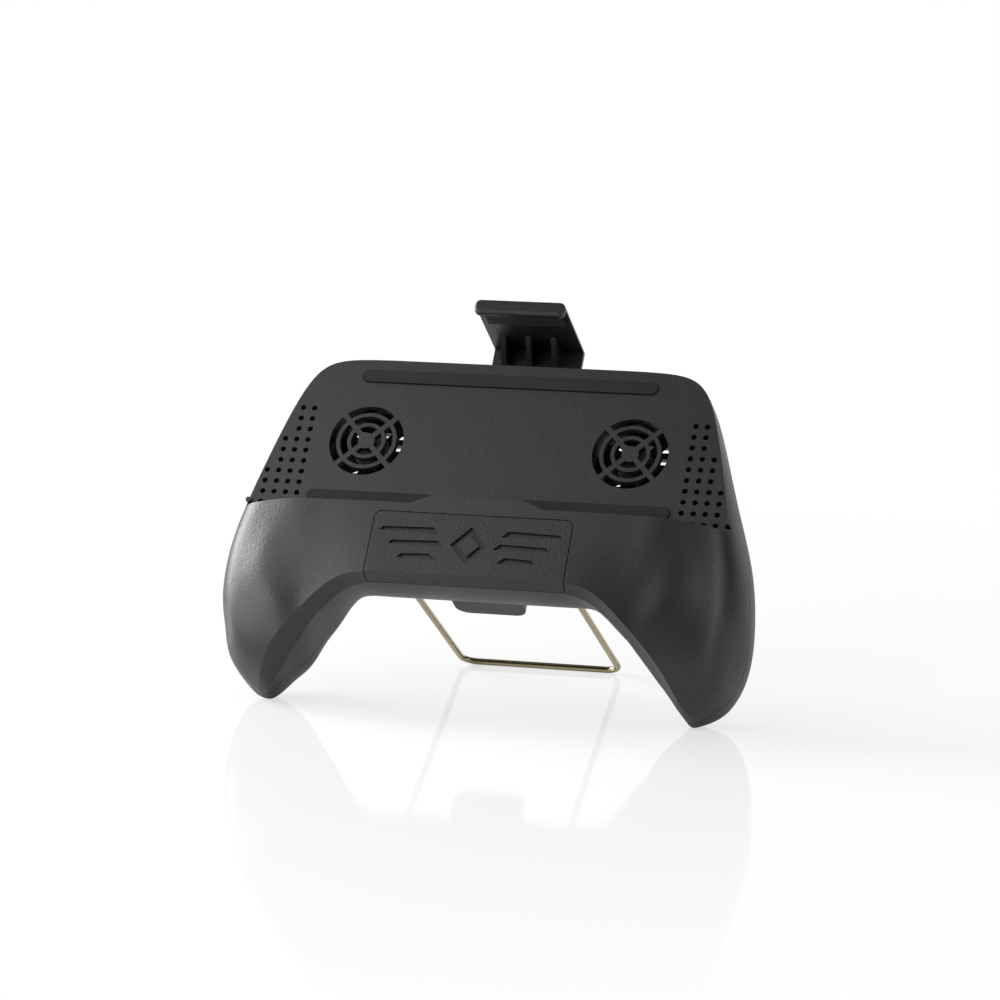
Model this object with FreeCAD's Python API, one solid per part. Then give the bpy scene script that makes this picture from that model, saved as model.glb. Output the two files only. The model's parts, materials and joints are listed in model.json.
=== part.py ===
"""Hand grip with a spring clamp, two cooling fans and a folding wire stand.

Everything is drawn in the grip's own leaning frame, in millimetres: X to the right, Y up along the
bed that the held device lies on, Z straight out of the bed. Y = 0 is where the device stands and
Z = 0 the bed's face. At the end the whole grip is leaned back and set down on its handle tips.
"""
import FreeCAD, Part
import math
import os

V = FreeCAD.Vector
X, Y, Z = V(1, 0, 0), V(0, 1, 0), V(0, 0, 1)
SIDES = {"left": -1, "right": 1}

# Stance
lean = 35.8                 # degrees that the bed leans back from upright

# Held device, which sets the cradle
device_height = 66.6        # lying on its long side, from the ledge up
device_front = 7.1          # its front face above the bed

# Body
face_z = 9.4                # front face
back_z = -18.3              # back face
chin_y = -23.4              # lower front edge between the handles
top_y = 52.0                # top edge of the body
side_z = -7.5               # widest line beside the bed
hip_x = 82.5                # half of the width over the handles
shoulder_x = 60.0           # half of the width at the top corners
tip_x, tip_y = 66.6, -50.0  # handle tip
wall = 2.2                  # moulded wall
seam = 0.2                  # open line between the two shells
ledge_drop = 0.6            # front shell's ledge below the device, filled by its pad

# Clearances
slip = 0.3                  # between moulded parts that slide or clip
pin_play = 0.05             # radial, pins and screws in their holes
seat = 0.25                 # round inlaid pieces

# Lip that keeps the device from tipping forward
lip_base, lip_top, lip_rise, lip_thick = 20.5, 13.5, 2.4, 1.8

# Front panel
panel_half = 30.3
panel_top = -3.7
panel_thick = 1.4
panel_bend = 4.6            # how far it turns under the lower edge
panel_corner = 2.2
panel_foot = 1.5            # corner radius where it ends under the edge
groove_depth = 0.85

# Rubber pads
pad_thick, pad_proud, pad_width = 1.1, 0.5, 4.0
lower_pad_half, upper_pad_half = 54.0, 44.0
lower_pad_y, upper_pad_y = 4.8, 46.0
ledge_pad_half = 58.0

# Clamp
arm_half = 11.0
arm_thick = 2.4
arm_gap = 0.3               # arm off the back of the body
arm_low = -18.5             # lower end of the arm, bent back into a finger catch
catch_reach, catch_thick, catch_corner, catch_bend = 6.0, 2.2, 4.0, 0.5
hook_mid, hook_half = 1.6, 14.1
hook_wall = 2.0
hook_corner = 1.8
hook_pad_thick = 0.6
lip_cover = 2.2             # hook's front lip over the device
clamp_travel = 18.0
lug_half, lug_long, lug_y = 3.0, 6.0, 9.0
yoke_half, yoke_thick = 9.6, 2.4

# Cover that holds the arm on the back
cover_half = 17.2
cover_wall = 2.0
cover_low, cover_high = 2.5, 46.0

# Clamp springs
spring_x, spring_r, spring_wire = 7.6, 1.6, 0.4
anchor_y, anchor_r = -13.0, 0.9

# Wire stand
wire_r = 1.0
stand_half = 25.5
stand_long = 70.5           # from the pivot to the foot bar
foot_bend, root_bend = 4.5, 2.5
pivot_y, pivot_z = -13.9, -17.0
pivot_pin = 4.6             # straight pin in its bore
fold_clear = 0.5            # folded foot bar behind the arm

# Fans
fan_side, fan_deep, fan_bore = 30.0, 7.0, 14.0
fan_x, fan_y = 41.0, 24.0
fan_post = 2.0              # fan off the back wall
fan_screw_off = 12.3
hub_r, blade_r, blades, blade_pitch = 6.0, 13.1, 7, 52
shaft_r = 1.0
vent_r, vent_pitch = 0.85, 3.6

# Battery cell
cell_r, cell_long = 9.1, 65.0
cell_y, cell_z = -12.3, -2.7

# Circuit board, socket, switch and lamp
board_half, board_low, board_high, board_thick = 22.0, 14.0, 48.5, 1.0
board_z = -5.8              # front of the board
socket_x, socket_wide, socket_high, socket_long = 10.0, 8.9, 3.2, 7.4
switch_x, knob_wide, knob_throw = -12.0, 3.0, 2.0
lamp_x, lamp_r = 0.0, 1.0

# Screws: shank radius, head radius, head height
shell_screw = (1.3, 2.4, 1.8)
small_screw = (0.95, 1.8, 1.3)
shell_screw_long, shell_screw_grip = 12.0, 6.5
shell_boss_r, small_boss_r = 3.6, 2.3
shell_screw_at = [(67.0, -29.0), (60.0, -8.5), (49.5, 44.3)]


class Station:
    """One cross-section of the body, cut by a plane that holds the Z direction.

    inner and outer are points (x, y, z) of its lower front edge and its widest line. edge, heel,
    brow and rump are (distance from the inner or outer end along the plane, z) of the rear edge of
    the chamfer, the inner back corner, the outer front corner and the outer back corner. The front
    face lies at ridge, and fall is how far it drops towards the outer corner.
    """

    def __init__(self, inner, outer, edge, heel, belly, back, ridge, brow, rump, fall=0):
        self.inner, self.outer = inner, outer
        self.edge, self.heel, self.belly = edge, heel, belly
        self.back, self.ridge, self.brow, self.rump, self.fall = back, ridge, brow, rump, fall

    def poles(self, inset, side):
        """Control points round the section, from the chamfer's rear edge to the front edge."""
        w = inset
        across = (self.outer[0] - self.inner[0], self.outer[1] - self.inner[1])
        reach = math.hypot(*across)
        (t0, z0), (t1, z1) = self.edge, self.heel
        flat = [
            (t0 + w, z0),
            (t0 + 0.35 * (t1 - t0) - self.belly + w, z0 + 0.35 * (z1 - z0)),
            (t0 + 0.70 * (t1 - t0) - 0.8 * self.belly + w, z0 + 0.70 * (z1 - z0)),
            (t1 + w, z1 + w),
            (t1 + 0.25 * (reach - t1), self.back + w),
            (t1 + 0.65 * (reach - t1), self.back + w),
            (reach - self.rump[0] - w, self.rump[1] + w),
            (reach - w, self.outer[2]),
            (reach - self.brow[0] - w, self.brow[1] - w),
            (0.65 * reach, self.ridge - self.fall - w),
            (0.3 * reach, self.ridge - w),
            (w, self.inner[2] - w),
        ]
        dx, dy = across[0] / reach, across[1] / reach
        return [V(side * (self.inner[0] + t * dx), self.inner[1] + t * dy, z) for t, z in flat]


def middle(x):
    """The body's section between the handles."""
    return Station((x, chin_y, face_z), (x, top_y, side_z + 1.5), (-1.4, face_z - panel_bend),
                   (4.5, back_z), 2.0, back_z, face_z, (0, face_z), (0, back_z))


stations = [
    middle(0), middle(12), middle(22), middle(panel_half + 0.2),
    Station((37.7, chin_y - 1.2, face_z - 0.8), (shoulder_x - 11.5, top_y, side_z + 1.5),
            (-1.4, 2.0), (6.4, back_z), 1.3, back_z, face_z, (0, face_z), (0, back_z)),
    Station((43.4, chin_y - 5.0, face_z - 2.5), (shoulder_x, top_y - 1.9, side_z + 1.5),
            (-1.4, -1.4), (2.2, -23.8), 0.6, back_z - 0.7, face_z - 0.1, (0, face_z - 0.4), (0, back_z)),
    Station((46.5, chin_y - 7.6, 5.4), (shoulder_x + 6.1, top_y - 16.1, side_z + 0.2),
            (-1.4, -3.0), (3.2, -29.2), 0.2, back_z - 2.7, face_z - 0.1, (0.5, 7.7), (0, back_z), 0.3),
    Station((49.6, chin_y - 10.1, 3.4), (hip_x - 9.9, 15.8, side_z - 3.2),
            (-1.4, -5.0), (2.8, -31.8), 0, -25.5, 8.1, (2.7, 5.3), (0.5, back_z - 0.7), 2.2),
    Station((52.6, chin_y - 12.9, 1.9), (hip_x - 2.5, -2.6, side_z - 4.6),
            (-1.4, -9.0), (0.7, -33.4), 0, -31.5, 8.2, (5.9, 2.5), (0.8, -24.0), 5.1),
    Station((55.7, tip_y + 10.8, 0.0), (hip_x - 0.7, -15.6, side_z - 7.0),
            (-1.4, -12.0), (0.8, -35.6), 0, -36.2, 2.8, (5.3, -1.1), (1.2, -30.0), 1.3),
    Station((tip_x - 8.5, tip_y + 8.5, -2.3), (hip_x, tip_y + 25.0, side_z - 11.0),
            (-1.4, -15.0), (1.9, -36.8), 0, -38.0, -0.5, (5.2, -5.0), (2.5, -33.8), 0.6),
    Station((tip_x - 6.2, tip_y + 6.0, -5.1), (hip_x - 1.4, tip_y + 17.9, side_z - 16.0),
            (-1.2, -18.0), (1.5, -36.4), 0, -38.4, -3.4, (5.0, -9.6), (2.5, -36.0)),
    Station((tip_x - 4.3, tip_y + 3.6, -8.7), (hip_x - 4.0, tip_y + 11.3, side_z - 18.5),
            (-1.0, -20.0), (1.0, -34.8), 0, -37.0, -7.4, (1.8, -12.2), (2.0, -35.2)),
    Station((tip_x - 2.7, tip_y + 1.4, -13.0), (tip_x + 8.9, tip_y + 6.2, side_z - 18.5),
            (-0.8, -22.0), (0.2, -32.4), 0, -34.0, -12.8, (0.0, -15.2), (1.0, -33.0)),
    Station((tip_x - 1.2, tip_y + 0.2, -18.0), (tip_x + 5.1, tip_y + 2.9, side_z - 18.5),
            (-0.6, -24.0), (0.0, -30.7), 0, -31.2, -18.2, (0.0, -19.0), (0.5, -30.8)),
    Station((tip_x, tip_y, -22.0), (tip_x + 2.8, tip_y + 1.2, side_z - 18.5),
            (0.2, -25.0), (0.4, -29.0), 0, -29.0, -22.0, (0.4, -22.5), (0.3, -29.0)),
]
parting_line = [s.outer for s in stations[6:-2]]


def block(x0, x1, y0, y1, z0, z1):
    return Part.makeBox(x1 - x0, y1 - y0, z1 - z0, V(x0, y0, z0))


def post(x, y, z0, z1, r):
    """A cylinder standing along Z."""
    return Part.makeCylinder(r, z1 - z0, V(x, y, z0), Z)


def prism_x(outline, x0, x1):
    """A flat outline of (y, z) points, drawn out along X."""
    points = [V(x0, y, z) for y, z in outline]
    return Part.Face(Part.makePolygon(points + points[:1])).extrude(V(x1 - x0, 0, 0))


def prism_z(outline, z0, z1):
    """A flat outline of (x, y) points, drawn out along Z."""
    points = [V(x, y, z0) for x, y in outline]
    return Part.Face(Part.makePolygon(points + points[:1])).extrude(V(0, 0, z1 - z0))


def both(shape):
    """The shape and its mirror image across the middle."""
    return [shape, shape.mirror(V(0, 0, 0), X)]


def cut_all(shape, tools):
    return shape.cut(tools[0].multiFuse(tools[1:]) if len(tools) > 1 else tools[0])


def round_edges(shape, radius, wanted):
    """Round the edges whose middle point passes the test."""
    return shape.makeFillet(radius, [e for e in shape.Edges if wanted(e.CenterOfMass)])


def near(a, b):
    return abs(a - b) < 0.01


def capsule(x, y, half, r, z0, z1):
    """A slot with round ends, lying along X."""
    slot = block(x - half, x + half, y - r, y + r, z0, z1)
    return slot.multiFuse([post(x - half, y, z0, z1, r), post(x + half, y, z0, z1, r)])


def screw(x, y, seat_z, length, size, towards=1):
    """A pan-head screw driven along Z, up or down, from its seat."""
    shank_r, head_r, head_high = size
    point = 0.8 * shank_r
    head = Part.makeCylinder(head_r, head_high, V(0, 0, -head_high), Z)
    head = head.makeFillet(0.4 * head_high, [e for e in head.Edges if near(e.BoundBox.ZMax, -head_high)])
    cross = [block(-a, a, -b, b, -far, -0.45 * head_high)
             for a, b in ((0.55 * head_r, 0.14 * head_r), (0.14 * head_r, 0.55 * head_r))]
    shank = post(0, 0, 0, length - point, shank_r)
    cone = Part.makeCone(shank_r, 0.3 * shank_r, point, V(0, 0, length - point), Z)
    whole = cut_all(head.multiFuse([shank, cone]), cross)
    if towards < 0:
        whole.rotate(V(0, 0, 0), X, 180)
    whole.translate(V(x, y, seat_z))
    return whole


def spline_knots(count, degree):
    """Clamped uniform knots for that many control points."""
    spans = count - degree
    return list(range(spans + 1)), [degree + 1] + [1] * (spans - 1) + [degree + 1]


def surface(rows, degree_across):
    knots_v, mults_v = spline_knots(len(rows), 3)
    knots_u, mults_u = spline_knots(len(rows[0]), degree_across)
    grid = [[row[i] for row in rows] for i in range(len(rows[0]))]
    sheet = Part.BSplineSurface()
    sheet.buildFromPolesMultsKnots(grid, mults_u, mults_v, knots_u, knots_v, False, False,
                                   degree_across, 3)
    return sheet.toShape()


def end_cap(row):
    knots, mults = spline_knots(len(row), 3)
    curve = Part.BSplineCurve()
    curve.buildFromPolesMultsKnots(row, mults, knots, False, 3)
    return Part.Face(Part.Wire([curve.toShape(), Part.LineSegment(row[-1], row[0]).toShape()]))


def body_solid(inset, last):
    """The whole body as one smooth solid, drawn in by inset, up to the given station."""
    used = stations[:last]
    rows = [s.poles(inset, -1) for s in reversed(used[1:])] + [s.poles(inset, 1) for s in used]
    skin = surface(rows, 3)
    bevel = surface([[row[-1], row[0]] for row in rows], 1)
    shell = Part.Shell([skin, bevel, end_cap(rows[0]), end_cap(rows[-1])])
    shell.sewShape()
    solid = Part.Solid(shell)
    if solid.Volume < 0:
        solid.reverse()
    return solid


far = 120.0
ledge_y = -ledge_drop
inner_back = back_z + wall
bed_under = -wall
outer = body_solid(0, len(stations))
cavity = body_solid(wall, len(stations) - 2).cut(block(-far, far, ledge_y - wall, far, bed_under, far))

# Arm and hook
arm_front = back_z - arm_gap
arm_back = arm_front - arm_thick
hook_inner = device_height + hook_pad_thick
hook_top = hook_inner + hook_wall
hook_lip_back = device_front + slip
hook_front = hook_lip_back + hook_wall
spring_z = inner_back + spring_r + 0.5
yoke_low = spring_z + spring_r + 0.6       # where the lug ends and the yoke sits, clear of the springs
yoke_high = yoke_low + yoke_thick
lug_mid = lug_y + 0.5 * lug_long
spring_top_y = lug_y + 2.2
cover_back = arm_back - slip - cover_wall
cover_seat = cover_back + small_screw[2] + 0.3
cover_screw_at = [(side * 0.5 * (arm_half + slip + cover_half), y) for side in (-1, 1)
                  for y in (cover_low + 4.5, cover_high - 4.5)]

# Fans and board
fan_back = inner_back + fan_post
fan_front = fan_back + fan_deep
fan_screw_at = [(side * (fan_x + off), fan_y + off) for side in (-1, 1)
                for off in (-fan_screw_off, fan_screw_off)]
board_back = board_z - board_thick
board_screw_at = [(side * (board_half - 3.2), y) for side in (-1, 1)
                  for y in (board_low + 3.2, board_high - 8.0)]
port_z = board_z + 0.5 * socket_high       # middle of the socket, knob and lamp

# Wire stand when folded: its slope to the back, which takes the foot bar behind the arm
folded_slope = math.asin((pivot_z - arm_back + fold_clear + wire_r) / stand_long)
groove_half = wire_r + slip
groove_floor = pivot_z + groove_half
groove_end = pivot_y + (groove_floor - back_z) / math.tan(folded_slope)


def half_space(shift, towards):
    """The space on one side of the parting surface, which runs along the body's widest line."""
    points = [V(-far, y, z + shift) for x, y, z in parting_line]
    curve = Part.BSplineCurve()
    curve.interpolate(points)
    start, stop = V(-far, far, points[0].z), V(-far, -far, points[-1].z - 6)
    corners = [points[-1], stop, V(-far, -far, towards * far), V(-far, far, towards * far), start, points[0]]
    edges = [curve.toShape()] + [Part.LineSegment(a, b).toShape() for a, b in zip(corners, corners[1:])]
    return Part.Face(Part.Wire(edges)).extrude(V(2 * far, 0, 0))


def parting_z(y):
    """Height of the parting surface at y, near enough for screws."""
    if y >= parting_line[0][1]:
        return parting_line[0][2]
    for (xa, ya, za), (xb, yb, zb) in zip(parting_line, parting_line[1:]):
        if y >= yb:
            return za + (zb - za) * (y - ya) / (yb - ya)
    return parting_line[-1][2]


def shell_bosses():
    bosses = []
    for x, y in shell_screw_at:
        bosses += both(post(x, y, -far, far, shell_boss_r))
    return bosses


def cell_cradle(open_to):
    """The cell's space and the way it is put in from one side."""
    r = cell_r + seat
    way = block(-far, far, cell_y - r, cell_y + r, min(open_to, cell_z), max(open_to, cell_z))
    return Part.makeCylinder(r, 2 * far, V(-far, cell_y, cell_z), X).fuse(way)


def edge_vents():
    """Rows of round holes in the bed that follow its slanting right edge."""
    holes = []
    top_x, top_row = hip_x - 9.9, 15.8
    for row in range(10):
        y = 1.8 + vent_pitch * row
        edge = top_x + 0.33 * (top_row - y)
        for column in range(5):
            x = 59.4 + vent_pitch * column
            if x < edge - 2.6:
                holes.append(post(x, y, bed_under - 1, 1, vent_r))
    return holes


def fan_guard(x):
    """Ring slots in the bed in front of a fan, left whole along two crossed spokes."""
    low, high = bed_under - 1, 1
    rings = [post(x, fan_y, low, high, r + 2.2).cut(post(x, fan_y, low, high, r)) for r in (2.6, 6.0, 9.4)]
    spokes = [block(-fan_bore, fan_bore, -0.8, 0.8, low, high), block(-0.8, 0.8, -fan_bore, fan_bore, low, high)]
    for spoke in spokes:
        spoke.rotate(V(0, 0, 0), Z, 45)
        spoke.translate(V(x, fan_y, 0))
    return cut_all(rings[0].multiFuse(rings[1:]), spokes)


def panel_block(gap):
    """The space of the front panel, which turns under the lower front edge."""
    half, top = panel_half + gap, panel_top + gap
    low = face_z - panel_bend - gap
    section = [(top, far), (top, face_z - panel_thick), (chin_y + 0.7, face_z - panel_thick),
               (chin_y - 0.3, low), (-far, low), (-far, far)]
    space = round_edges(prism_x(section, -half, half), panel_corner + gap,
                        lambda c: near(abs(c.x), half) and near(c.y, top))
    return round_edges(space, panel_foot + gap, lambda c: near(abs(c.x), half) and near(c.z, low))


def pad_space(y, half, gap):
    """A pad's pocket in the bed, or the pad itself, with round ends."""
    return capsule(0, y, half, pad_width / 2 + gap, pad_proud - pad_thick, pad_proud)


def make_front_shell():
    inside = shell_bosses()
    inside += [post(x, y, board_z, far, small_boss_r) for x, y in board_screw_at]
    for side in SIDES.values():
        duct = post(side * fan_x, fan_y, fan_front + slip, far, fan_bore + 1.2)
        inside.append(duct.cut(post(side * fan_x, fan_y, -far, far, fan_bore)))
    inside += both(block(19, 21, chin_y - 3, ledge_y, -far, far).cut(cell_cradle(-far)))
    hollow = cut_all(cavity, inside)
    lip = prism_z([(-lip_base, ledge_y - 1), (-lip_base, ledge_y), (-lip_top, lip_rise),
                   (lip_top, lip_rise), (lip_base, ledge_y), (lip_base, ledge_y - 1)],
                  face_z - lip_thick, face_z)
    shell = outer.cut(block(-far, far, ledge_y, far, 0, far)).fuse(lip)
    shell = shell.cut(hollow).common(half_space(0, 1))
    tools = [panel_block(seat), pad_space(lower_pad_y, lower_pad_half, seat),
             pad_space(upper_pad_y, upper_pad_half, seat), fan_guard(-fan_x), fan_guard(fan_x)]
    for hole in edge_vents():
        tools += both(hole)
    for x, y in shell_screw_at:
        top = parting_z(y) - shell_screw_grip + shell_screw_long + 0.6
        tools += both(post(x, y, -far, top, shell_screw[0] + pin_play))
    for x, y in board_screw_at:
        tools.append(post(x, y, board_z - 1, board_z + 3.6, small_screw[0] + pin_play))
    tools.append(block(socket_x - socket_wide / 2 - seat, socket_x + socket_wide / 2 + seat, top_y - 5,
                       top_y + 5, board_z - seat, board_z + socket_high + seat))
    reach = knob_wide / 2 + slip
    tools.append(block(switch_x - reach, switch_x + reach + knob_throw, top_y - 5, top_y + 5,
                       port_z - 0.8 - slip, port_z + 0.8 + slip))
    tools.append(Part.makeCylinder(lamp_r + pin_play, 10, V(lamp_x, top_y - 5, port_z), Y))
    return cut_all(shell, tools)


def stand_cuts():
    """Groove, root room and pin bore for the wire, in the right side of the rear shell."""
    groove = prism_x([(pivot_y - groove_half, groove_floor), (pivot_y, groove_floor), (groove_end, back_z),
                      (groove_end, -far), (pivot_y - groove_half, -far)],
                     stand_half - groove_half, stand_half + groove_half)
    root = block(stand_half, stand_half + root_bend + slip, pivot_y - groove_half,
                 pivot_y + root_bend + groove_half, -far, groove_floor)
    bore = Part.makeCylinder(wire_r + pin_play, root_bend + pivot_pin + 0.4,
                             V(stand_half, pivot_y, pivot_z), X)
    return groove.multiFuse([root, bore])


def make_rear_shell():
    inside = shell_bosses()
    inside += [post(x, y, -far, fan_back, small_boss_r) for x, y in fan_screw_at]
    inside += [post(x, y, -far, inner_back + 2.5, small_boss_r) for x, y in cover_screw_at]
    inside += [post(side * spring_x, anchor_y, -far, spring_z + 1.2, anchor_r) for side in SIDES.values()]
    rest = block(15.5, 17.5, cell_y - 4, cell_y + 4, -far, cell_z).cut(cell_cradle(far))
    ear = block(stand_half - 4, stand_half + root_bend + pivot_pin + 1.4, -far, pivot_y + 5.2,
                -far, pivot_z + 3.6)
    roof = block(stand_half - groove_half - 1.6, stand_half + groove_half + 1.6, pivot_y, groove_end + 1.6,
                 -far, inner_back + 1.2)
    for solid in (rest, ear, roof):
        inside += both(solid)
    shell = outer.cut(cut_all(cavity, inside)).common(half_space(-seam, -1))
    tools = both(stand_cuts())
    for x, y in shell_screw_at:
        z = parting_z(y) - shell_screw_grip
        shaft = post(x, y, z - 1, far, shell_screw[0] + pin_play)
        tools += both(shaft.fuse(post(x, y, -far, z, shell_screw[1] + seat)))
    for x, y in fan_screw_at:
        tools.append(post(x, y, inner_back - 1.2, fan_back + 1, small_screw[0] + pin_play))
    for x, y in cover_screw_at:
        tools.append(post(x, y, back_z - 1, inner_back + 2.0, small_screw[0] + pin_play))
    slot_half = lug_half + slip
    tools.append(block(-slot_half, slot_half, lug_y - slip, lug_y + lug_long + clamp_travel + slip,
                       -far, inner_back + 1))
    for side in SIDES.values():
        for row in range(6):
            tools.append(capsule(side * fan_x, fan_y - 10 + 4 * row, 9, 1.0, -far, inner_back + 0.5))
    return cut_all(shell, tools)


def make_front_panel():
    panel = outer.common(panel_block(0))
    floor = face_z - groove_depth
    middle_y = 0.5 * (panel_top + chin_y)
    grooves = []
    for row, (close, away) in enumerate(((9.5, 27.0), (7.5, 23.5), (9.5, 20.0))):
        y = middle_y + 4.3 * (1 - row)
        grooves += both(prism_z([(close, y - 1.0), (close + 2.0, y + 1.0), (away, y + 0.6),
                                 (away + 1.2, y - 0.6)], floor, far))
    diamonds = [prism_z([(0, middle_y - a), (b, middle_y), (0, middle_y + a), (-b, middle_y)], floor, far)
                for a, b in ((6.0, 5.5), (3.6, 3.3))]
    grooves.append(diamonds[0].cut(diamonds[1]))
    return cut_all(panel, grooves)


def make_ledge_pad():
    pad = block(-ledge_pad_half, ledge_pad_half, ledge_y, 0, 0.8, face_z - lip_thick - 0.8)
    return round_edges(pad, 2.0, lambda c: near(abs(c.x), ledge_pad_half) and near(c.y, ledge_y / 2))


def make_clamp_arm():
    left, right = hook_mid - hook_half, hook_mid + hook_half
    plate = block(-arm_half, arm_half, arm_low, hook_top, arm_back, arm_front)
    catch_back = arm_back - catch_reach
    catch = block(-arm_half, arm_half, arm_low, arm_low + catch_thick, catch_back, arm_front)
    catch = round_edges(catch, catch_corner, lambda c: near(c.z, catch_back) and near(abs(c.x), arm_half))
    bend = prism_x([(arm_low + catch_thick, arm_back), (arm_low + catch_thick + catch_bend, arm_back),
                    (arm_low + catch_thick, arm_back - catch_bend)], -arm_half, arm_half)
    flare = prism_z([(-arm_half, hook_inner - 14), (arm_half, hook_inner - 14), (right, hook_inner - 8),
                     (right, hook_top), (left, hook_top), (left, hook_inner - 8)], arm_back, arm_front)
    roof = block(left, right, hook_inner, hook_top, arm_back, hook_front)
    lip_low = device_height - lip_cover
    lip = block(left, right, lip_low, hook_top, hook_lip_back, hook_front)
    lip = round_edges(lip, hook_corner, lambda c: near(c.y, lip_low) and near(abs(c.x - hook_mid), hook_half))
    gussets = [prism_x([(hook_inner, arm_front), (hook_inner, arm_front + 9), (hook_inner - 9, arm_front)],
                       x - 0.8, x + 0.8) for x in (-8, 0, 8)]
    lug = block(-lug_half, lug_half, lug_y, lug_y + lug_long, arm_front, yoke_low)
    arm = plate.multiFuse([catch, bend, flare, roof, lip, lug] + gussets).removeSplitter()
    arm = round_edges(arm, hook_corner, lambda c: near(c.y, hook_top) and near(abs(c.x - hook_mid), hook_half))
    arm = round_edges(arm, 1.0, lambda c: c.y > hook_top - 0.6 and (near(c.z, hook_front) or near(c.z, arm_back)))
    return arm.cut(post(0, lug_mid, yoke_low - 5.5, far, small_screw[0] + pin_play))


def make_spring_yoke():
    bar = block(-yoke_half, yoke_half, lug_y, lug_y + lug_long, yoke_low, yoke_high)
    bar = round_edges(bar, 1.5, lambda c: near(abs(c.x), yoke_half) and near(c.z, (yoke_low + yoke_high) / 2))
    pegs = [post(side * spring_x, spring_top_y, spring_z - spring_r - 0.2, yoke_low + 0.5, anchor_r)
            for side in SIDES.values()]
    return bar.multiFuse(pegs).cut(post(0, lug_mid, -far, far, small_screw[0] + pin_play))


def make_slide_cover():
    """A channel over the arm, its rails cut to the body's back."""
    body = block(-cover_half, cover_half, cover_low, cover_high, cover_back, inner_back)
    body = round_edges(body, 3.0, lambda c: near(abs(c.x), cover_half)
                       and min(abs(c.y - cover_low), abs(c.y - cover_high)) < 0.01)
    body = round_edges(body, 1.0, lambda c: near(c.z, cover_back) or c.z < cover_back + 0.01)
    tools = [outer, block(-arm_half - slip, arm_half + slip, -far, far, arm_back - slip, far)]
    for x, y in cover_screw_at:
        tools.append(post(x, y, -far, far, small_screw[0] + pin_play))
        tools.append(post(x, y, -far, cover_seat, small_screw[1] + seat))
    for row in range(5):
        tools.append(capsule(0, 10 + 5.5 * row, 6, 0.9, -far, cover_back + 0.7))
    for tool in tools:
        body = body.cut(tool)
    return body


def make_spring(side):
    """An extension spring, drawn as the tube that its turns fill, with a ring at each end."""
    ring_r = anchor_r + pin_play + spring_wire
    low, high = anchor_y + ring_r - 0.2, spring_top_y - ring_r + 0.2
    x = side * spring_x
    tube = Part.makeCylinder(spring_r, high - low, V(x, low, spring_z), Y)
    tube = tube.cut(Part.makeCylinder(spring_r - spring_wire, high - low, V(x, low, spring_z), Y))
    rings = [post(x, y, spring_z - spring_wire / 2, spring_z + spring_wire / 2, ring_r)
             for y in (anchor_y, spring_top_y)]
    bridges = [block(x - spring_r + 0.1, x + spring_r - 0.1, y, y + 0.4, spring_z - spring_wire / 2,
                     spring_z + spring_wire / 2) for y in (low, high - 0.4)]
    spring = tube.multiFuse(rings + bridges)
    return cut_all(spring, [post(x, y, -far, far, anchor_r + pin_play) for y in (anchor_y, spring_top_y)])


def stand_height():
    """How far the body is lifted so that its lowest point, a handle tip, meets the surface."""
    up = math.radians(lean)
    return -min(p.y * math.cos(up) + p.z * math.sin(up) for p in outer.tessellate(0.02)[0])


def leg_angle():
    """Angle of the open legs above the line square to the back, so that the foot bar rests."""
    up = math.radians(lean)
    pivot_height = pivot_y * math.cos(up) + pivot_z * math.sin(up) + lift
    return up - math.asin((pivot_height - wire_r) / stand_long)


def bent_wire(corners, bends, r):
    """A round wire along straight runs joined by arcs."""
    edges = []
    start = corners[0]
    for before, at, after, bend in zip(corners, corners[1:], corners[2:], bends):
        a, b = (before - at).normalize(), (after - at).normalize()
        half = a.getAngle(b) / 2
        centre = at + (a + b).normalize() * (bend / math.sin(half))
        p, q = at + a * (bend / math.tan(half)), at + b * (bend / math.tan(half))
        mid = centre + (at - centre).normalize() * bend
        edges += [Part.LineSegment(start, p).toShape(), Part.Arc(p, mid, q).toShape()]
        start = q
    edges.append(Part.LineSegment(start, corners[-1]).toShape())
    circle = Part.Wire(Part.makeCircle(r, corners[0], corners[1] - corners[0]))
    return Part.Wire(edges).makePipeShell([circle], True, True)


def make_wire_stand():
    angle = leg_angle()
    pin_end = stand_half + root_bend + pivot_pin
    foot_y = pivot_y + stand_long * math.sin(angle)
    foot_z = pivot_z - stand_long * math.cos(angle)
    corners = [V(-pin_end, pivot_y, pivot_z), V(-stand_half, pivot_y, pivot_z),
               V(-stand_half, foot_y, foot_z), V(stand_half, foot_y, foot_z),
               V(stand_half, pivot_y, pivot_z), V(pin_end, pivot_y, pivot_z)]
    return bent_wire(corners, [root_bend, foot_bend, foot_bend, root_bend], wire_r)


def make_fan_frame(x):
    half = fan_side / 2
    frame = block(x - half, x + half, fan_y - half, fan_y + half, fan_back, fan_front)
    frame = round_edges(frame, 2.5, lambda c: near(abs(c.x - x), half) and near(abs(c.y - fan_y), half))
    frame = frame.cut(post(x, fan_y, -far, far, fan_bore))
    reach, base_top = fan_bore + 0.5, fan_back + 1.2
    parts = [post(x, fan_y, fan_back, base_top, hub_r + 0.4), post(x, fan_y, fan_back, fan_front - 1.6, shaft_r),
             block(x - reach, x + reach, fan_y - 0.9, fan_y + 0.9, fan_back, base_top),
             block(x - 0.9, x + 0.9, fan_y - reach, fan_y + reach, fan_back, base_top)]
    holes = [post(sx, sy, -far, far, small_screw[0] + pin_play) for sx, sy in fan_screw_at if sx * x > 0]
    return cut_all(frame.multiFuse(parts), holes)


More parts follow.
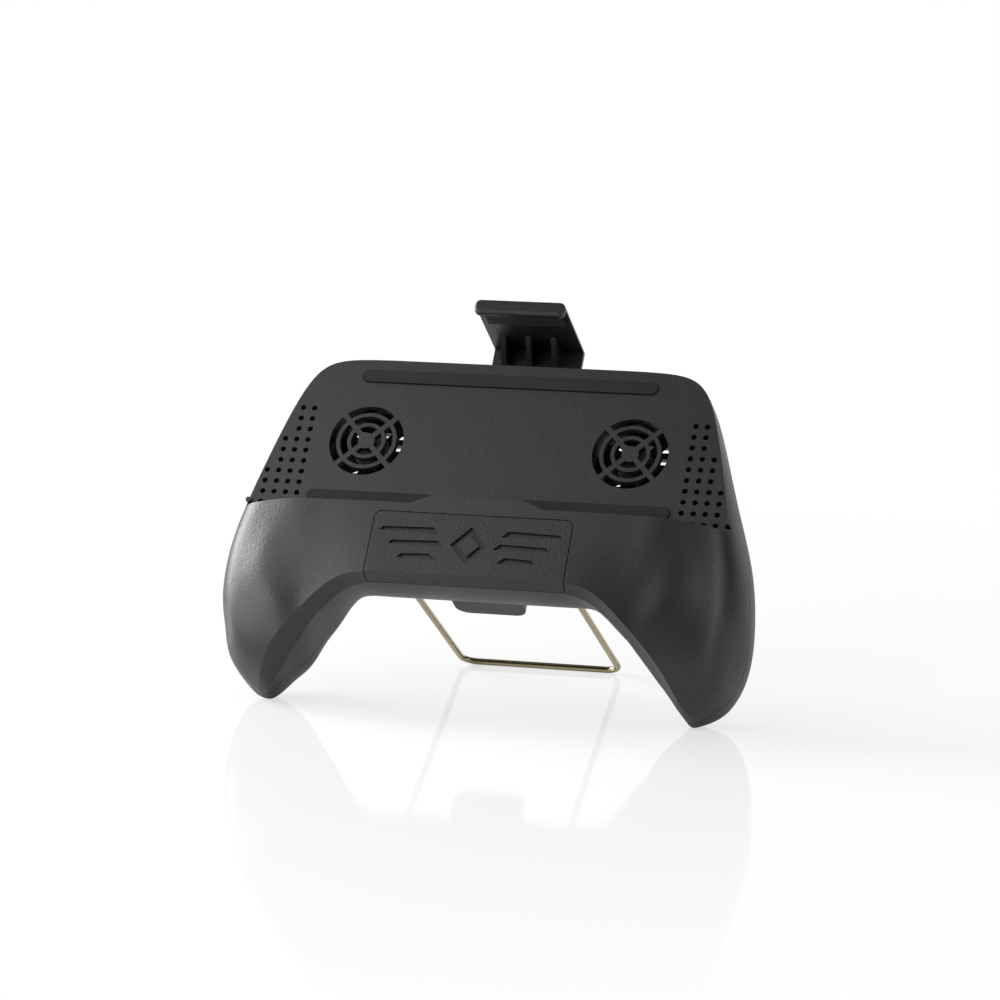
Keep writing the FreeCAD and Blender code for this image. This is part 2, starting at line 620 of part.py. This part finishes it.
def make_fan_rotor(x):
    low, high = fan_back + 1.2 + slip, fan_front - slip
    hub = round_edges(post(x, fan_y, low, high, hub_r), 0.6, lambda c: near(c.z, high))
    vanes = []
    for k in range(blades):
        vane = block(hub_r - 0.6, blade_r + 1, -0.45, 0.45, -2.6, 2.6)
        vane.rotate(V(0, 0, 0), X, blade_pitch)
        vane.rotate(V(0, 0, 0), Z, 360 * k / blades)
        vane.translate(V(x, fan_y, 0.5 * (low + high)))
        vanes.append(vane)
    rotor = hub.multiFuse(vanes).common(post(x, fan_y, low, high, blade_r))
    return rotor.cut(post(x, fan_y, low - 1, fan_front - 1.6 + slip, shaft_r + pin_play))


def make_battery_cell():
    nub = 1.5
    can = Part.makeCylinder(cell_r, cell_long - nub, V(-cell_long / 2, cell_y, cell_z), X)
    can = can.makeFillet(0.8, [e for e in can.Edges if e.Closed])
    return can.fuse(Part.makeCylinder(3.0, nub, V(cell_long / 2 - nub, cell_y, cell_z), X))


def make_circuit_board():
    board = block(-board_half, board_half, board_low, board_high, board_back, board_z)
    board = round_edges(board, 1.5, lambda c: near(abs(c.x), board_half) and near(c.z, board_z - board_thick / 2))
    chips = [block(x, x + w, y, y + h, board_z, board_z + high) for x, y, w, h, high in
             ((-5, 22, 7, 7, 1.4), (8, 22, 5, 4, 1.6), (-14, 28, 5, 5, 2.4), (6, 31, 3, 5, 1.2))]
    holes = [post(x, y, -far, far, small_screw[0] + pin_play) for x, y in board_screw_at]
    return cut_all(board.multiFuse(chips), holes)


def make_usb_socket():
    mouth_y = top_y - 0.4
    half, top = socket_wide / 2, board_z + socket_high
    case = block(socket_x - half, socket_x + half, mouth_y - socket_long, mouth_y, board_z, top)
    case = round_edges(case, 1.2, lambda c: near(c.y, mouth_y - socket_long / 2))
    room = block(socket_x - half + 0.4, socket_x + half - 0.4, mouth_y - 6, mouth_y, board_z + 0.4, top - 0.4)
    room = round_edges(room, 0.9, lambda c: near(c.y, mouth_y - 3))
    tongue = block(socket_x - 3.3, socket_x + 3.3, mouth_y - 6.4, mouth_y - 0.8, port_z - 0.35, port_z + 0.35)
    return case.cut(room).fuse(tongue)


def make_switch_housing():
    front_y = top_y - wall - 0.4
    housing = block(switch_x - 3.5, switch_x + 5.5, front_y - 4, front_y, board_z, board_z + socket_high)
    reach = knob_wide / 2 + slip
    return housing.cut(block(switch_x - reach, switch_x + reach + knob_throw, front_y - 2.2, far,
                             port_z - 0.8 - slip, port_z + 0.8 + slip))


def make_switch_knob():
    tip = top_y + 0.8
    knob = block(switch_x - knob_wide / 2, switch_x + knob_wide / 2, top_y - wall - 2.6 + slip, tip,
                 port_z - 0.8, port_z + 0.8)
    return round_edges(knob, 0.4, lambda c: near(c.y, tip))


def make_status_light():
    tip, foot_y = top_y + 0.2, top_y - wall - 1.0
    pipe = Part.makeCylinder(lamp_r, tip - foot_y, V(lamp_x, foot_y, port_z), Y)
    pipe = round_edges(pipe, 0.4, lambda c: near(c.y, tip))
    return pipe.fuse(block(lamp_x - 1.6, lamp_x + 1.6, foot_y - 3.4, foot_y, board_z, board_z + socket_high))


lift = stand_height()
pieces = {
    "front_shell": make_front_shell(),
    "rear_shell": make_rear_shell(),
    "front_panel": make_front_panel(),
    "ledge_pad": make_ledge_pad(),
    "bed_pad_lower": pad_space(lower_pad_y, lower_pad_half, 0),
    "bed_pad_upper": pad_space(upper_pad_y, upper_pad_half, 0),
    "clamp_arm": make_clamp_arm(),
    "hook_pad": block(hook_mid + 2 - hook_half, hook_mid - 2 + hook_half, device_height, hook_inner, -1.5, hook_lip_back - slip),
    "spring_yoke": make_spring_yoke(),
    "slide_cover": make_slide_cover(),
    "wire_stand": make_wire_stand(),
    "battery_cell": make_battery_cell(),
    "circuit_board": make_circuit_board(),
    "usb_socket": make_usb_socket(),
    "switch_housing": make_switch_housing(),
    "switch_knob": make_switch_knob(),
    "status_light": make_status_light(),
    "yoke_screw": screw(0, lug_mid, yoke_high, 7.0, small_screw, -1),
}
for side_name, side in SIDES.items():
    pieces["clamp_spring_" + side_name] = make_spring(side)
    pieces["fan_frame_" + side_name] = make_fan_frame(side * fan_x)
    pieces["fan_rotor_" + side_name] = make_fan_rotor(side * fan_x)
screws = {
    "shell_screws": [screw(side * x, y, parting_z(y) - shell_screw_grip, shell_screw_long, shell_screw)
                     for x, y in shell_screw_at for side in (-1, 1)],
    "cover_screws": [screw(x, y, cover_seat, 6.5, small_screw) for x, y in cover_screw_at],
    "fan_screws": [screw(x, y, fan_front, fan_deep + fan_post + 1, small_screw, -1) for x, y in fan_screw_at],
    "board_screws": [screw(x, y, board_back, 4.4, small_screw) for x, y in board_screw_at],
}
for name, group in screws.items():
    pieces[name] = Part.makeCompound(group)


def stand_up(shape):
    """Lean a shape back and set it down, still off the middle of the footprint."""
    placed = shape.copy()
    placed.rotate(V(0, 0, 0), X, 90 - lean)
    placed.translate(V(0, 0, lift))
    return placed


placed = {name: stand_up(shape) for name, shape in pieces.items()}
nearest = min(v.y for v in placed["front_shell"].tessellate(0.02)[0])
farthest = placed["wire_stand"].optimalBoundingBox(False).YMax
middle_y = 0.5 * (nearest + farthest)

os.makedirs("parts", exist_ok=True)
for name, shape in placed.items():
    shape.translate(V(0, -middle_y, 0))
    shape.exportStep("parts/" + name + ".step")
    print(name, len(shape.Solids), shape.isValid(), round(shape.Volume, 1))
print("lift", round(lift, 3), "leg angle", round(math.degrees(leg_angle()), 2),
      "folded slope", round(math.degrees(folded_slope), 2), "middle", round(middle_y, 3))
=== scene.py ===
"""Looks of the clamp grip: the finish of each part, and the table, lamps and camera.

It is laid out as an add-on and run as a script, after the part is packed. All sizes are in metres,
lamp powers in watts and colours in sRGB hex values, which linear() turns to linear ones.
"""
import json
import math

import bpy
from bpy.props import FloatProperty, FloatVectorProperty, PointerProperty
from mathutils import Matrix, Vector

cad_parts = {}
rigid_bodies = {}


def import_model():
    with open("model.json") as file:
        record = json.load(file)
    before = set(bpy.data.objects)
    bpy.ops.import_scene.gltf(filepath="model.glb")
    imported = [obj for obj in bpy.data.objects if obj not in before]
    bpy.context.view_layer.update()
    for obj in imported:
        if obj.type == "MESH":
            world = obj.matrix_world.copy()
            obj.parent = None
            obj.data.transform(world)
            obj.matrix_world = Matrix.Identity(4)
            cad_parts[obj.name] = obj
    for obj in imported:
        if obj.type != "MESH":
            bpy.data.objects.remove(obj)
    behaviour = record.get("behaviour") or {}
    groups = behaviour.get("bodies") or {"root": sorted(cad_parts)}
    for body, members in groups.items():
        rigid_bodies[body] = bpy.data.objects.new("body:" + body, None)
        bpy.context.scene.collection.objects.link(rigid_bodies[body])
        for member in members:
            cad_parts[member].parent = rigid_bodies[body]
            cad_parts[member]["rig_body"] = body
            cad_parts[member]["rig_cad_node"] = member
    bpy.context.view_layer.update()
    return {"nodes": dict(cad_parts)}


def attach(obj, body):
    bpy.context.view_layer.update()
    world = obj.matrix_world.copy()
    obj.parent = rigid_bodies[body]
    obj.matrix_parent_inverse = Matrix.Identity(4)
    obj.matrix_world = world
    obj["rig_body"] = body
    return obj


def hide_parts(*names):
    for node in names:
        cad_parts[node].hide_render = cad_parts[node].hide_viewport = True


bl_info = {
    "name": "Clamp grip",
    "version": (1, 0, 0),
    "blender": (4, 5, 0),
    "location": "View3D > Sidebar > Clamp grip",
    "description": "Finishes and lights a hand grip with a spring clamp, fans and a wire stand",
    "category": "Object",
}

COLOUR_A, COLOUR_B, COLOUR_OUT = 6, 7, 2   # a Mix node's sockets for colours
NOISE_LOW, NOISE_HIGH = 0.3, 0.7           # between these lies nearly all of a Noise node's output
WHITE = (1, 1, 1, 1)

CLOUD = 0.018             # width of one cloud of changing gloss, from how the melt flows in a mould
PLATING_DEPTH = 0.00002   # how much a plated surface rises and falls
SHARP_OVER = 40           # degrees: edges of the front panel that are sharper get rounded
SMOOTH_UNDER = 50         # degrees: its faces that meet at less than this shade as one

PICTURE_MIDDLE = Vector((0.00664, -0.02756, 0.06496))   # the point that the camera looks at
LAMP_AIM = (0, 0, 0.06)   # the middle of the grip
TABLE_WIDTH = 30

# The white acrylic turns from lit table to plain white between these distances from the middle.
FADE_NEAR, FADE_FAR = 0.12, 0.38
PLAIN_NEAR = 0.62      # share of plain white near the grip: it leaves a shadow and mirror image
MIRRORED_SHARE = 0.33  # how much of that share glossy and clear things see

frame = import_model()


def linear(hex_colour):
    """A linear colour from an sRGB hex value."""
    parts = [int(hex_colour[i:i + 2], 16) / 255 for i in (1, 3, 5)]
    return [c / 12.92 if c <= 0.04045 else ((c + 0.055) / 1.055) ** 2.4 for c in parts] + [1.0]


class FinishSettings(bpy.types.PropertyGroup):
    """Colours and grain of the grip's materials.

    A spark-eroded mould leaves a grain of 0.05 to 0.1 mm, which is too fine to show in the picture,
    so it is drawn as coarse as it needs to show.
    """

    shell: FloatVectorProperty(
        name="Shell", description="Colour of the moulded shells", subtype="COLOR", size=4,
        default=linear("#1c1b1f"), min=0, max=1)
    panel: FloatVectorProperty(
        name="Front panel", description="Colour of the front panel", subtype="COLOR", size=4,
        default=linear("#18181a"), min=0, max=1)
    arm: FloatVectorProperty(
        name="Clamp", description="Colour of the clamp arm and its cover", subtype="COLOR", size=4,
        default=linear("#151517"), min=0, max=1)
    wire: FloatVectorProperty(
        name="Wire", description="Colour of the plated wire stand", subtype="COLOR", size=4,
        default=linear("#a59a7c"), min=0, max=1)
    panel_edge: FloatProperty(
        name="Panel edge", description="Width of the panel's rounded edges",
        default=0.00018, min=0.00005, max=0.0005, precision=5, unit="LENGTH")
    grain: FloatProperty(
        name="Grain",
        description="Width of one drawn grain of the moulded surfaces",
        default=0.0007, min=0.0002, max=0.003, precision=5, unit="LENGTH")


class StageSettings(bpy.types.PropertyGroup):
    """Table, lamps and camera."""

    table: FloatVectorProperty(
        name="Table", description="Colour of the white table", subtype="COLOR", size=4,
        default=linear("#f1f1f1"), min=0, max=1)
    azimuth: FloatProperty(
        name="Azimuth", description="How far the camera stands to the right of the front",
        default=math.radians(16.08), subtype="ANGLE")
    elevation: FloatProperty(
        name="Elevation", description="How far the camera looks down",
        default=math.radians(9.26), subtype="ANGLE")
    roll: FloatProperty(
        name="Roll", description="Turn of the camera about its own line of sight",
        default=math.radians(0.43), subtype="ANGLE")
    distance: FloatProperty(
        name="Distance", description="From the camera to the middle of the picture",
        default=1.218, min=0.2, unit="LENGTH")
    lens: FloatProperty(
        name="Lens", description="Focal length in millimetres on a sensor 36 mm wide",
        default=149.08, min=20, max=400)
    key_power: FloatProperty(
        name="Key lamp", description="Power of the large soft lamp on the left, in watts",
        default=15.0, min=0)
    fill_power: FloatProperty(
        name="Low lamp", description="Power of the low soft lamp at the left front, in watts",
        default=2.6, min=0)
    strip_power: FloatProperty(
        name="Strip lamp", description="Power of the tall narrow lamp on the right, in watts",
        default=2.2, min=0)
    room: FloatProperty(
        name="Room light", description="Strength of the even light on matt surfaces",
        default=0.4, min=0, max=1)
    walls: FloatProperty(
        name="Walls", description="Strength at which glossy surfaces see the room's dark walls",
        default=0.06, min=0, max=1)
    ceiling: FloatProperty(
        name="Ceiling", description="Strength at which glossy surfaces see the pale ceiling",
        default=0.22, min=0, max=1)


def add(tree, kind, links=None, **settings):
    """Adds a node: settings are its own, and links give each socket a value or another socket."""
    node = tree.nodes.new(kind)
    for name, value in settings.items():
        setattr(node, name, value)
    for name, value in (links or {}).items():
        if isinstance(value, bpy.types.NodeSocket):
            tree.links.new(value, node.inputs[name])
        else:
            node.inputs[name].default_value = value
    return node


def new_material(name):
    """An empty node material, with its output and the piece's own coordinates."""
    material = bpy.data.materials.new(name)
    material.use_nodes = True
    tree = material.node_tree
    tree.nodes.clear()
    out = add(tree, "ShaderNodeOutputMaterial")
    place = add(tree, "ShaderNodeTexCoord").outputs["Object"]
    return material, tree, out, place


def moulded_plastic(name, colour, roughness, grain, depth, mottle=0.25, ior=1.53):
    """Moulded plastic: satin, with the even fine grain of its mould and slight clouds of gloss."""
    material, tree, out, place = new_material(name)
    fine = add(tree, "ShaderNodeTexNoise", {"Vector": place, "Scale": 1 / grain, "Detail": 2.0,
                                            "Roughness": 0.6})
    pits = add(tree, "ShaderNodeTexVoronoi", {"Vector": place, "Scale": 0.8 / grain},
               feature="SMOOTH_F1")
    height = add(tree, "ShaderNodeMath", {0: fine.outputs["Fac"], 1: pits.outputs["Distance"]},
                 operation="ADD")
    bump = add(tree, "ShaderNodeBump", {"Height": height.outputs[0], "Distance": depth,
                                        "Strength": 0.7})
    clouds = add(tree, "ShaderNodeTexNoise", {"Vector": place, "Scale": 1 / CLOUD, "Detail": 3.0})
    rough = add(tree, "ShaderNodeMapRange", {"Value": clouds.outputs["Fac"], "From Min": NOISE_LOW,
                                             "From Max": NOISE_HIGH, "To Min": roughness - 0.03,
                                             "To Max": roughness + 0.04})
    light = [min(1.0, c * (1 + mottle) + 0.002) for c in colour[:3]] + [1.0]
    dark = [c * (1 - mottle) for c in colour[:3]] + [1.0]
    tone = add(tree, "ShaderNodeMix", {"Factor": fine.outputs["Fac"], COLOUR_A: dark,
                                       COLOUR_B: light}, data_type="RGBA")
    shader = add(tree, "ShaderNodeBsdfPrincipled", {
        "Base Color": tone.outputs[COLOUR_OUT], "Roughness": rough.outputs[0], "IOR": ior,
        "Normal": bump.outputs[0]})
    tree.links.new(shader.outputs[0], out.inputs["Surface"])
    return material


def plated_metal(name, colour, roughness, spot):
    """Bright plating over steel: mirror-like, with fine spots of changing gloss."""
    material, tree, out, place = new_material(name)
    spots = add(tree, "ShaderNodeTexNoise", {"Vector": place, "Scale": 1 / spot, "Detail": 4.0})
    rough = add(tree, "ShaderNodeMapRange", {"Value": spots.outputs["Fac"], "From Min": NOISE_LOW,
                                             "From Max": NOISE_HIGH, "To Min": roughness - 0.06,
                                             "To Max": roughness + 0.08})
    bump = add(tree, "ShaderNodeBump", {"Height": spots.outputs["Fac"], "Distance": PLATING_DEPTH,
                                        "Strength": 0.4})
    shader = add(tree, "ShaderNodeBsdfPrincipled", {
        "Base Color": colour, "Metallic": 1.0, "Roughness": rough.outputs[0],
        "Normal": bump.outputs[0]})
    tree.links.new(shader.outputs[0], out.inputs["Surface"])
    return material


def give(material, *nodes):
    """Puts a finish on CAD nodes."""
    for name in nodes:
        piece = frame["nodes"][name]
        for s in piece.material_slots:
            s.link = "OBJECT"
            s.material = material


def merged_copy(node, name):
    """A copy of a CAD node with its triangles merged and its flat faces joined, for edge work."""
    bpy.ops.object.select_all(action="DESELECT")
    source = frame["nodes"][node]
    source.select_set(True)
    bpy.context.view_layer.objects.active = source
    bpy.ops.object.duplicate()
    piece = bpy.context.object
    piece.name = piece.data.name = name
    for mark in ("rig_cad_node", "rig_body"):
        del piece[mark]
    piece.data.materials.clear()
    bpy.ops.object.mode_set(mode="EDIT")
    bpy.ops.mesh.select_mode(type="EDGE")
    bpy.ops.mesh.select_all(action="SELECT")
    bpy.ops.mesh.remove_doubles(threshold=0.000001)
    bpy.ops.mesh.customdata_custom_splitnormals_clear()
    bpy.ops.mesh.dissolve_limited(angle_limit=math.radians(0.3))
    bpy.ops.object.mode_set(mode="OBJECT")
    return piece


def break_edges(piece, width):
    """Rounds a piece's sharp edges by a small width, as a mould leaves them."""
    bpy.ops.object.mode_set(mode="EDIT")
    bpy.ops.mesh.select_all(action="DESELECT")
    bpy.ops.mesh.edges_select_sharp(sharpness=math.radians(SHARP_OVER))
    bpy.ops.mesh.bevel(offset=width, segments=2, affect="EDGES", clamp_overlap=True)
    bpy.ops.object.mode_set(mode="OBJECT")
    bpy.ops.object.shade_smooth_by_angle(angle=math.radians(SMOOTH_UNDER))
    # Large faces keep their own direction, so only the rounded edges shade round.
    bpy.ops.object.modifier_add(type="WEIGHTED_NORMAL")
    piece.modifiers[-1].weight = 100
    bpy.ops.object.modifier_apply(modifier=piece.modifiers[-1].name)


class GRIP_OT_front_panel(bpy.types.Operator):
    """Make the front panel's broken edges and finish it"""

    bl_idname = "grip.front_panel"
    bl_label = "Front panel"

    def execute(self, context):
        look = context.scene.grip_finish
        panel = merged_copy("front_panel", "front_panel_plate")
        break_edges(panel, look.panel_edge)
        # ABS from a mould etched deeper than the shells': duller and darker, with a closer grain.
        panel.data.materials.append(moulded_plastic(
            "abs_fine_grain_panel", look.panel, 0.46, look.grain * 0.8, 0.00009))
        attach(panel, "grip")
        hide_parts("front_panel")
        return {"FINISHED"}


class GRIP_OT_shells(bpy.types.Operator):
    """Finish the two shells and the pads"""

    bl_idname = "grip.shells"
    bl_label = "Shells and pads"

    def execute(self, context):
        look = context.scene.grip_finish
        # ABS from a spark-eroded mould: a broad soft shine along the handles, broken by grain.
        give(moulded_plastic("abs_spark_eroded_black", look.shell, 0.44, look.grain, 0.00005),
             "front_shell", "rear_shell")
        # Moulded silicone rubber: nearly without shine, so the pads read darker than the bed.
        give(moulded_plastic("silicone_rubber_matt", linear("#161616"), 0.72, 0.0005, 0.00004,
                             ior=1.43), "ledge_pad", "bed_pad_lower", "bed_pad_upper", "hook_pad")
        return {"FINISHED"}


class GRIP_OT_clamp(bpy.types.Operator):
    """Finish the clamp arm, its cover, yoke and springs"""

    bl_idname = "grip.clamp"
    bl_label = "Clamp"

    def execute(self, context):
        look = context.scene.grip_finish
        # Nylon filled with glass, moulded: darker than the shells, with a closer grain.
        give(moulded_plastic("nylon_glass_filled_black", look.arm, 0.4, look.grain * 0.7, 0.00004),
             "clamp_arm", "spring_yoke", "slide_cover")
        # Wound spring steel, zinc plated: bluish white with a soft shine.
        give(plated_metal("spring_steel_zinc", linear("#b9bcc0"), 0.3, 0.0006),
             "clamp_spring_left", "clamp_spring_right")
        return {"FINISHED"}


class GRIP_OT_stand(bpy.types.Operator):
    """Finish the wire stand"""

    bl_idname = "grip.stand"
    bl_label = "Wire stand"

    def execute(self, context):
        look = context.scene.grip_finish
        # Drawn spring wire, nickel plated: warm, and it mirrors the white room in thin lines.
        give(plated_metal("spring_wire_nickel_plated", look.wire, 0.2, 0.0012), "wire_stand")
        return {"FINISHED"}


class GRIP_OT_inside(bpy.types.Operator):
    """Finish the fans, cell, board, socket, switch, lamp and screws"""

    bl_idname = "grip.inside"
    bl_label = "Fans, cell and board"

    def execute(self, context):
        # PBT: matt from a grained mould on the frames, smoother on the blades, which catch light.
        give(moulded_plastic("pbt_fan_frame_black", linear("#1b1b1c"), 0.5, 0.0006, 0.00003),
             "fan_frame_left", "fan_frame_right")
        give(moulded_plastic("pbt_fan_rotor_black", linear("#222224"), 0.34, 0.0012, 0.00002),
             "fan_rotor_left", "fan_rotor_right")
        # PVC sleeve shrunk on the cell: smooth, with slow waves.
        give(moulded_plastic("pvc_shrink_sleeve_blue", linear("#1f4f8a"), 0.32, 0.004, 0.00002),
             "battery_cell")
        # Solder mask printed over the board: glossy green, slightly uneven.
        give(moulded_plastic("fr4_solder_mask_green", linear("#14532b"), 0.3, 0.0009, 0.00001),
             "circuit_board")
        # Pressed stainless steel: bright, with a soft changing gloss.
        give(plated_metal("stainless_socket_shell", linear("#c9cbcd"), 0.28, 0.0008),
             "usb_socket")
        # Moulded POM: waxy, a soft even shine.
        give(moulded_plastic("pom_switch_black", linear("#232325"), 0.4, 0.0005, 0.00003),
             "switch_housing", "switch_knob")
        # Milky polycarbonate, polished mould: pale and glossy.
        give(moulded_plastic("polycarbonate_lamp_milky", linear("#d8dcdc"), 0.2, 0.003, 0.00001,
                             mottle=0.03, ior=1.58), "status_light")
        # Turned steel, black zinc: dark grey metal with a dull shine.
        give(plated_metal("steel_screw_black_zinc", linear("#6d6f73"), 0.36, 0.0004),
             "shell_screws", "cover_screws", "fan_screws", "board_screws", "yoke_screw")
        return {"FINISHED"}


def lamp(name, size, place, power):
    """A rectangular soft lamp at a place, turned to face the grip and unseen by the camera."""
    bpy.ops.object.light_add(type="AREA", location=place)
    light = bpy.context.object
    light.name = light.data.name = name
    light.data.shape = "RECTANGLE"
    light.data.size, light.data.size_y = size
    light.data.energy = power
    light.visible_camera = False
    light.rotation_euler = (Vector(LAMP_AIM) - Vector(place)).to_track_quat("-Z", "Y").to_euler()


class GRIP_OT_stage(bpy.types.Operator):
    """Set the white table, the lamps, the room light and the camera"""

    bl_idname = "grip.stage"
    bl_label = "Table, lamps and camera"

    def execute(self, context):
        stage = context.scene.grip_stage

        # White acrylic sheet: it shows the shadow and a weak image of the grip, and turns to plain
        # white away from it.
        bpy.ops.mesh.primitive_plane_add(size=TABLE_WIDTH, location=(0, 0, 0))
        table = context.object
        table.name = "table"
        material, tree, out, place = new_material("white_acrylic_sheet")
        lit = add(tree, "ShaderNodeBsdfPrincipled", {
            "Base Color": stage.table, "Roughness": 0.06, "IOR": 1.49})
        plain = add(tree, "ShaderNodeEmission", {"Color": WHITE, "Strength": 1.0})
        far = add(tree, "ShaderNodeVectorMath", {0: place}, operation="LENGTH")
        fade = add(tree, "ShaderNodeMapRange", {
            "Value": far.outputs["Value"], "From Min": FADE_NEAR, "From Max": FADE_FAR,
            "To Min": PLAIN_NEAR, "To Max": 1.0})
        # The camera sees this share whole, glossy and clear things a third of it, the rest none.
        rays = add(tree, "ShaderNodeLightPath")
        mirrored = add(tree, "ShaderNodeMath", {0: rays.outputs["Is Glossy Ray"],
                                                1: rays.outputs["Is Transmission Ray"]},
                       operation="MAXIMUM")
        part = add(tree, "ShaderNodeMath", {0: mirrored.outputs[0], 1: MIRRORED_SHARE},
                   operation="MULTIPLY")
        seen = add(tree, "ShaderNodeMath", {0: rays.outputs["Is Camera Ray"], 1: part.outputs[0]},
                   operation="MAXIMUM")
        share = add(tree, "ShaderNodeMath", {0: seen.outputs[0], 1: fade.outputs[0]},
                    operation="MULTIPLY")
        both = add(tree, "ShaderNodeMixShader", {0: share.outputs[0], 1: lit.outputs[0],
                                                 2: plain.outputs[0]})
        tree.links.new(both.outputs[0], out.inputs["Surface"])
        table.data.materials.append(material)

        # A studio with a white backdrop behind, a pale ceiling and dark walls: glossy black plastic
        # mirrors these, while matt surfaces get the same even light from all round.
        world = bpy.data.worlds.new("studio_room")
        context.scene.world = world
        world.use_nodes = True
        tree = world.node_tree
        tree.nodes.clear()
        way = add(tree, "ShaderNodeSeparateXYZ",
                  {"Vector": add(tree, "ShaderNodeTexCoord").outputs["Generated"]})
        above = add(tree, "ShaderNodeMapRange", {
            "Value": way.outputs["Z"], "From Min": 0.4, "From Max": 0.9,
            "To Min": stage.walls, "To Max": stage.ceiling}, interpolation_type="SMOOTHSTEP")
        behind = add(tree, "ShaderNodeMapRange", {
            "Value": way.outputs["Y"], "From Min": 0.65, "From Max": 0.9,
            "To Min": above.outputs[0], "To Max": 1.0}, interpolation_type="SMOOTHSTEP")
        rays = add(tree, "ShaderNodeLightPath")
        inside = add(tree, "ShaderNodeMapRange", {"Value": rays.outputs["Is Glossy Ray"],
                                                  "To Min": stage.room,
                                                  "To Max": behind.outputs[0]})
        seen = add(tree, "ShaderNodeMath", {0: rays.outputs["Is Camera Ray"],
                                            1: rays.outputs["Is Transmission Ray"]},
                   operation="MAXIMUM")
        strength = add(tree, "ShaderNodeMapRange", {"Value": seen.outputs[0],
                                                    "To Min": inside.outputs[0], "To Max": 1.0})
        room = add(tree, "ShaderNodeBackground", {"Color": WHITE,
                                                  "Strength": strength.outputs[0]})
        add(tree, "ShaderNodeOutputWorld", {"Surface": room.outputs[0]})

        # The key draws the left handle's shine, and the low and near lamps carry it over its front.
        # The two tall lamps draw the thin bright lines down the right handle.
        lamp("key_lamp", (0.5, 0.6), (-0.94, 0.10, 0.38), stage.key_power)
        lamp("low_lamp", (0.4, 0.3), (-0.80, -0.60, 0.14), stage.fill_power)
        lamp("near_lamp", (0.32, 0.3), (-0.22, -0.30, 0.34), stage.fill_power / 4)
        lamp("strip_lamp", (0.12, 0.8), (0.77, -0.40, 0.42), stage.strip_power)
        lamp("edge_lamp", (0.08, 0.8), (0.84, -0.09, 0.36), stage.strip_power / 4)

        back = Vector((math.sin(stage.azimuth) * math.cos(stage.elevation),
                       -math.cos(stage.azimuth) * math.cos(stage.elevation),
                       math.sin(stage.elevation)))
        right = Vector((math.cos(stage.azimuth), math.sin(stage.azimuth), 0))
        up = back.cross(right)
        turn = Matrix((right, up, back)).transposed()
        bpy.ops.object.camera_add(location=PICTURE_MIDDLE + back * stage.distance)
        camera = context.object
        camera.name = "camera"
        camera.rotation_euler = (turn @ Matrix.Rotation(stage.roll, 3, "Z")).to_euler()
        camera.data.sensor_width = 36
        camera.data.lens = stage.lens
        camera.data.clip_start, camera.data.clip_end = 0.01, 100
        context.scene.camera = camera
        context.scene.view_settings.view_transform = "Standard"
        return {"FINISHED"}


class GRIP_PT_panel(bpy.types.Panel):
    """Lists the steps and their settings"""

    bl_label = "Clamp grip"
    bl_idname = "GRIP_PT_panel"
    bl_space_type = "VIEW_3D"
    bl_region_type = "UI"
    bl_category = "Clamp grip"

    def draw(self, context):
        for settings in (context.scene.grip_finish, context.scene.grip_stage):
            for name in settings.__annotations__:
                self.layout.prop(settings, name)
        for step in STEPS:
            self.layout.operator(step.bl_idname)


STEPS = (GRIP_OT_shells, GRIP_OT_front_panel, GRIP_OT_clamp, GRIP_OT_stand, GRIP_OT_inside,
         GRIP_OT_stage)
CLASSES = (FinishSettings, StageSettings, *STEPS, GRIP_PT_panel)


def register():
    for c in CLASSES:
        bpy.utils.register_class(c)
    bpy.types.Scene.grip_finish = PointerProperty(type=FinishSettings)
    bpy.types.Scene.grip_stage = PointerProperty(type=StageSettings)


def unregister():
    del bpy.types.Scene.grip_stage
    del bpy.types.Scene.grip_finish
    for c in reversed(CLASSES):
        bpy.utils.unregister_class(c)


def main():
    register()
    for step in STEPS:
        group, name = step.bl_idname.split(".")
        getattr(getattr(bpy.ops, group), name)()


if __name__ == "__main__":
    main()
